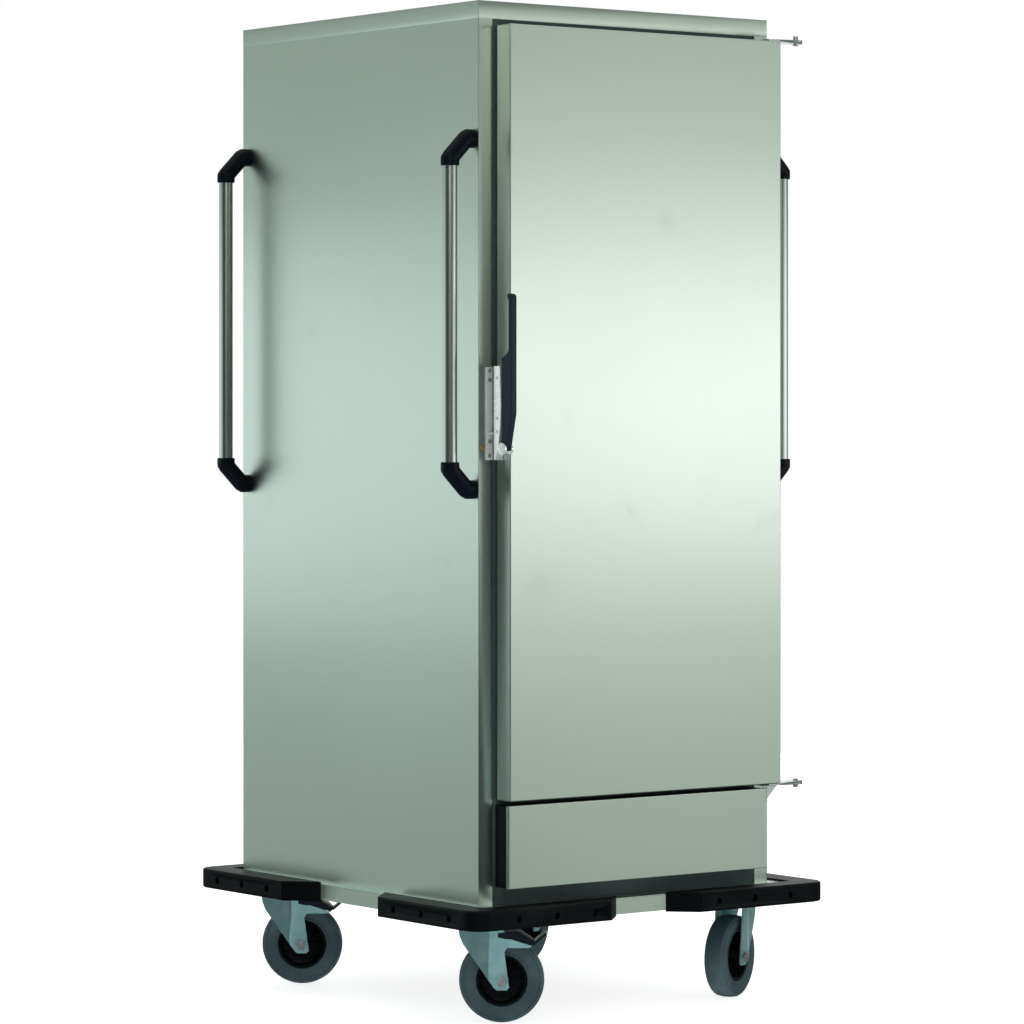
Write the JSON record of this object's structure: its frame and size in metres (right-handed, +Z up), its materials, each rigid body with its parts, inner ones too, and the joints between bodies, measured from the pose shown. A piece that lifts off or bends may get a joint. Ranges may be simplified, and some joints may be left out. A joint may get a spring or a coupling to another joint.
{
  "type": "insulated food carrier",
  "caption": "Tall stainless insulated food carrier on castors with a hinged door, lever latch, bottom drawer, push handles and corner bumpers.",
  "frame": {"origin": "on the floor under the middle of the bumpered base", "axes": "+Z up, -Y towards the door and drawer, +X towards the door's hinges"},
  "size_m": [0.856, 0.95, 1.907],
  "materials": {
    "stainless": "satin",
    "chrome": "polished",
    "zinc": "satin",
    "steel_bolts": "satin",
    "slate_frame": "satin",
    "black_plastic": "matte",
    "bumper_black": "matte",
    "pedal_black": "satin",
    "hub_black": "satin",
    "grey_rubber": "matte",
    "gasket_rubber": "matte",
    "brass": "satin",
    "foam": "matte",
    "drawer_black": "satin",
    "black_screws": "satin"
  },
  "bodies": {
    "cabinet": {"base_deck": "stainless", "base_rails": "stainless", "bumper_front_left": "bumper_black", "bumper_front_right": "bumper_black", "bumper_rear_left": "bumper_black", "bumper_rear_right": "bumper_black", "bumper_screws": "black_screws", "castor_bolts": "steel_bolts", "castor_pads": "stainless", "castor_plates": "zinc", "cavity_floor": "stainless", "door_frame": "slate_frame", "drawer_slides": "stainless", "handle_bolts": "steel_bolts", "handle_elbows": "black_plastic", "handle_tubes": "stainless", "hinge_brackets": "steel_bolts", "hinge_pins": "steel_bolts", "insulation": "foam", "keeper_screws": "steel_bolts", "latch_keeper": "chrome", "liner_sides": "stainless", "liner_wrap": "stainless", "lock_barrel": "brass", "rack_posts": "stainless", "rear_panel": "stainless", "side_panel_left": "stainless", "side_panel_right": "stainless", "top_cap": "stainless", "tray_runners": "stainless"},
    "door": {"door_skin": "stainless", "door_liner": "stainless", "door_foam": "foam", "door_gasket": "gasket_rubber", "hinge_arms": "steel_bolts", "latch_housing": "chrome", "latch_pivot": "chrome"},
    "lever": {"latch_lever": "black_plastic"},
    "bolt": {"latch_bolt": "chrome"},
    "drawer": {"drawer_front": "stainless", "drawer_core": "drawer_black", "drawer_tray": "stainless"},
    "castor_front_left": {"castor_fork_front_left": "zinc", "castor_axle_front_left": "steel_bolts"},
    "wheel_front_left": {"castor_tyre_front_left": "grey_rubber", "castor_hub_front_left": "hub_black"},
    "pedal_front_left": {"brake_pedal_front_left": "pedal_black"},
    "castor_rear_left": {"castor_fork_rear_left": "zinc", "castor_axle_rear_left": "steel_bolts"},
    "wheel_rear_left": {"castor_tyre_rear_left": "grey_rubber", "castor_hub_rear_left": "hub_black"},
    "pedal_rear_left": {"brake_pedal_rear_left": "pedal_black"},
    "castor_front_right": {"castor_fork_front_right": "zinc", "castor_axle_front_right": "steel_bolts"},
    "wheel_front_right": {"castor_tyre_front_right": "grey_rubber", "castor_hub_front_right": "hub_black"},
    "castor_rear_right": {"castor_fork_rear_right": "zinc", "castor_axle_rear_right": "steel_bolts"},
    "wheel_rear_right": {"castor_tyre_rear_right": "grey_rubber", "castor_hub_rear_right": "hub_black"}
  },
  "joints": [
    {"name": "door_swing", "type": "hinge", "parent": "cabinet", "child": "door", "pos_m": [0.414, -0.391, 1.13], "axis": [0, 0, 1], "range_deg": [0, 240]},
    {"name": "lever_pull", "type": "hinge", "parent": "door", "child": "lever", "pos_m": [-0.3245, -0.4315, 1.073], "axis": [1, 0, 0], "range_deg": [0, 60]},
    {"name": "bolt_lift", "type": "slide", "parent": "door", "child": "bolt", "axis": [0, 0, 1], "range_m": [0, 0.014]},
    {"name": "drawer_slide", "type": "slide", "parent": "cabinet", "child": "drawer", "axis": [0, -1, 0], "range_m": [0, 0.45]},
    {"name": "swivel_front_left", "type": "hinge", "parent": "cabinet", "child": "castor_front_left", "pos_m": [-0.318, -0.334, 0.18], "axis": [0, 0, 1], "continuous": true},
    {"name": "roll_front_left", "type": "hinge", "parent": "castor_front_left", "child": "wheel_front_left", "pos_m": [-0.28192, -0.36089, 0.08], "axis": [0.5976, 0.8018, 0], "continuous": true},
    {"name": "brake_front_left", "type": "hinge", "parent": "castor_front_left", "child": "pedal_front_left", "pos_m": [-0.27951, -0.36269, 0.168], "axis": [0.5976, 0.8018, 0], "range_deg": [0, 8]},
    {"name": "swivel_rear_left", "type": "hinge", "parent": "cabinet", "child": "castor_rear_left", "pos_m": [-0.318, 0.334, 0.18], "axis": [0, 0, 1], "continuous": true},
    {"name": "roll_rear_left", "type": "hinge", "parent": "castor_rear_left", "child": "wheel_rear_left", "pos_m": [-0.28192, 0.30711, 0.08], "axis": [0.5976, 0.8018, 0], "continuous": true},
    {"name": "brake_rear_left", "type": "hinge", "parent": "castor_rear_left", "child": "pedal_rear_left", "pos_m": [-0.27951, 0.30531, 0.168], "axis": [0.5976, 0.8018, 0], "range_deg": [0, 8]},
    {"name": "swivel_front_right", "type": "hinge", "parent": "cabinet", "child": "castor_front_right", "pos_m": [0.318, -0.334, 0.18], "axis": [0, 0, 1], "continuous": true},
    {"name": "roll_front_right", "type": "hinge", "parent": "castor_front_right", "child": "wheel_front_right", "pos_m": [0.27732, -0.35323, 0.08], "axis": [0.4274, -0.9041, 0], "continuous": true},
    {"name": "swivel_rear_right", "type": "hinge", "parent": "cabinet", "child": "castor_rear_right", "pos_m": [0.318, 0.334, 0.18], "axis": [0, 0, 1], "continuous": true},
    {"name": "roll_rear_right", "type": "hinge", "parent": "castor_rear_right", "child": "wheel_rear_right", "pos_m": [0.27732, 0.31477, 0.08], "axis": [0.4274, -0.9041, 0], "continuous": true}
  ],
  "couplings": [
    {"joint": "bolt_lift", "follows": "lever_pull", "m_per_rad": 0.013369}
  ]
}
